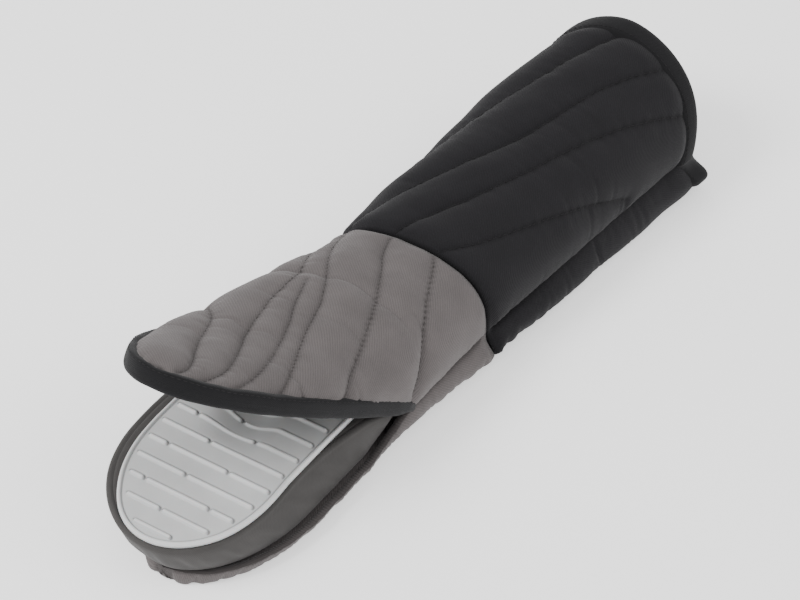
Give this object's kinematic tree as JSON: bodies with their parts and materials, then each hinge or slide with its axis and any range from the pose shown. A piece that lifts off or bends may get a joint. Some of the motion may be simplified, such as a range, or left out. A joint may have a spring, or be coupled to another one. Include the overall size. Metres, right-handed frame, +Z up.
{
  "type": "oven mitt",
  "caption": "Long quilted gauntlet mitt with a flared cuff, an open bound flap and a ribbed silicone pad on its lower jaw.",
  "frame": {"origin": "on the surface that the mitt rests on, under the corners of its mouth", "axes": "+X along the hand from the cuff towards the fingertips, +Y towards the right-hand side seam, +Z up"},
  "size_m": [0.4462, 0.1652, 0.1225],
  "materials": {
    "grey_cotton": "warm grey brushed cotton twill",
    "black_cotton": "black brushed cotton twill",
    "gusset_cotton": "smooth grey coated fabric",
    "lining_cloth": "plain woven lining",
    "polyester_wadding": "white polyester wadding, hidden",
    "grey_silicone": "matte moulded silicone",
    "black_binding": "folded bias tape"
  },
  "bodies": {
    "hand": {"hand_upper_panel": "grey_cotton", "hand_upper_wadding": "polyester_wadding", "hand_upper_lining": "lining_cloth", "lower_panel": "grey_cotton", "lower_wadding": "polyester_wadding", "lower_lining": "lining_cloth", "knuckle_fold": "grey_cotton", "jaw_gusset": "gusset_cotton", "jaw_gusset_wadding": "polyester_wadding", "palm_facing": "gusset_cotton", "palm_wadding": "polyester_wadding", "palm_lining": "lining_cloth", "palm_grip_pad": "grey_silicone", "mouth_fold": "gusset_cotton", "mouth_corner_folds": "grey_cotton", "cuff_upper_root": "black_cotton", "cuff_lower_root": "black_cotton"},
    "flap": {"flap_outer_panel": "grey_cotton", "flap_wadding": "polyester_wadding", "flap_lining": "lining_cloth", "flap_facing_wadding": "polyester_wadding", "flap_facing": "gusset_cotton", "flap_binding": "black_binding"},
    "cuff": {"cuff_upper_panel": "black_cotton", "cuff_upper_wadding": "polyester_wadding", "cuff_upper_lining": "lining_cloth", "cuff_lower_panel": "black_cotton", "cuff_lower_wadding": "polyester_wadding", "cuff_lower_lining": "lining_cloth", "cuff_binding": "black_binding"}
  },
  "joints": [
    {"name": "flap_hinge", "type": "hinge", "parent": "hand", "child": "flap", "pos_m": [0, 0.01, 0.022], "axis": [0, -1, 0], "range_deg": [-22, 20], "deforming": ["knuckle_fold", "mouth_fold", "mouth_corner_folds"]},
    {"name": "wrist_bend", "type": "hinge", "parent": "hand", "child": "cuff", "pos_m": [-0.0925, 0.022, 0.035], "axis": [0, 1, 0], "range_deg": [-20, 20], "deforming": ["cuff_upper_root", "cuff_lower_root"]}
  ]
}
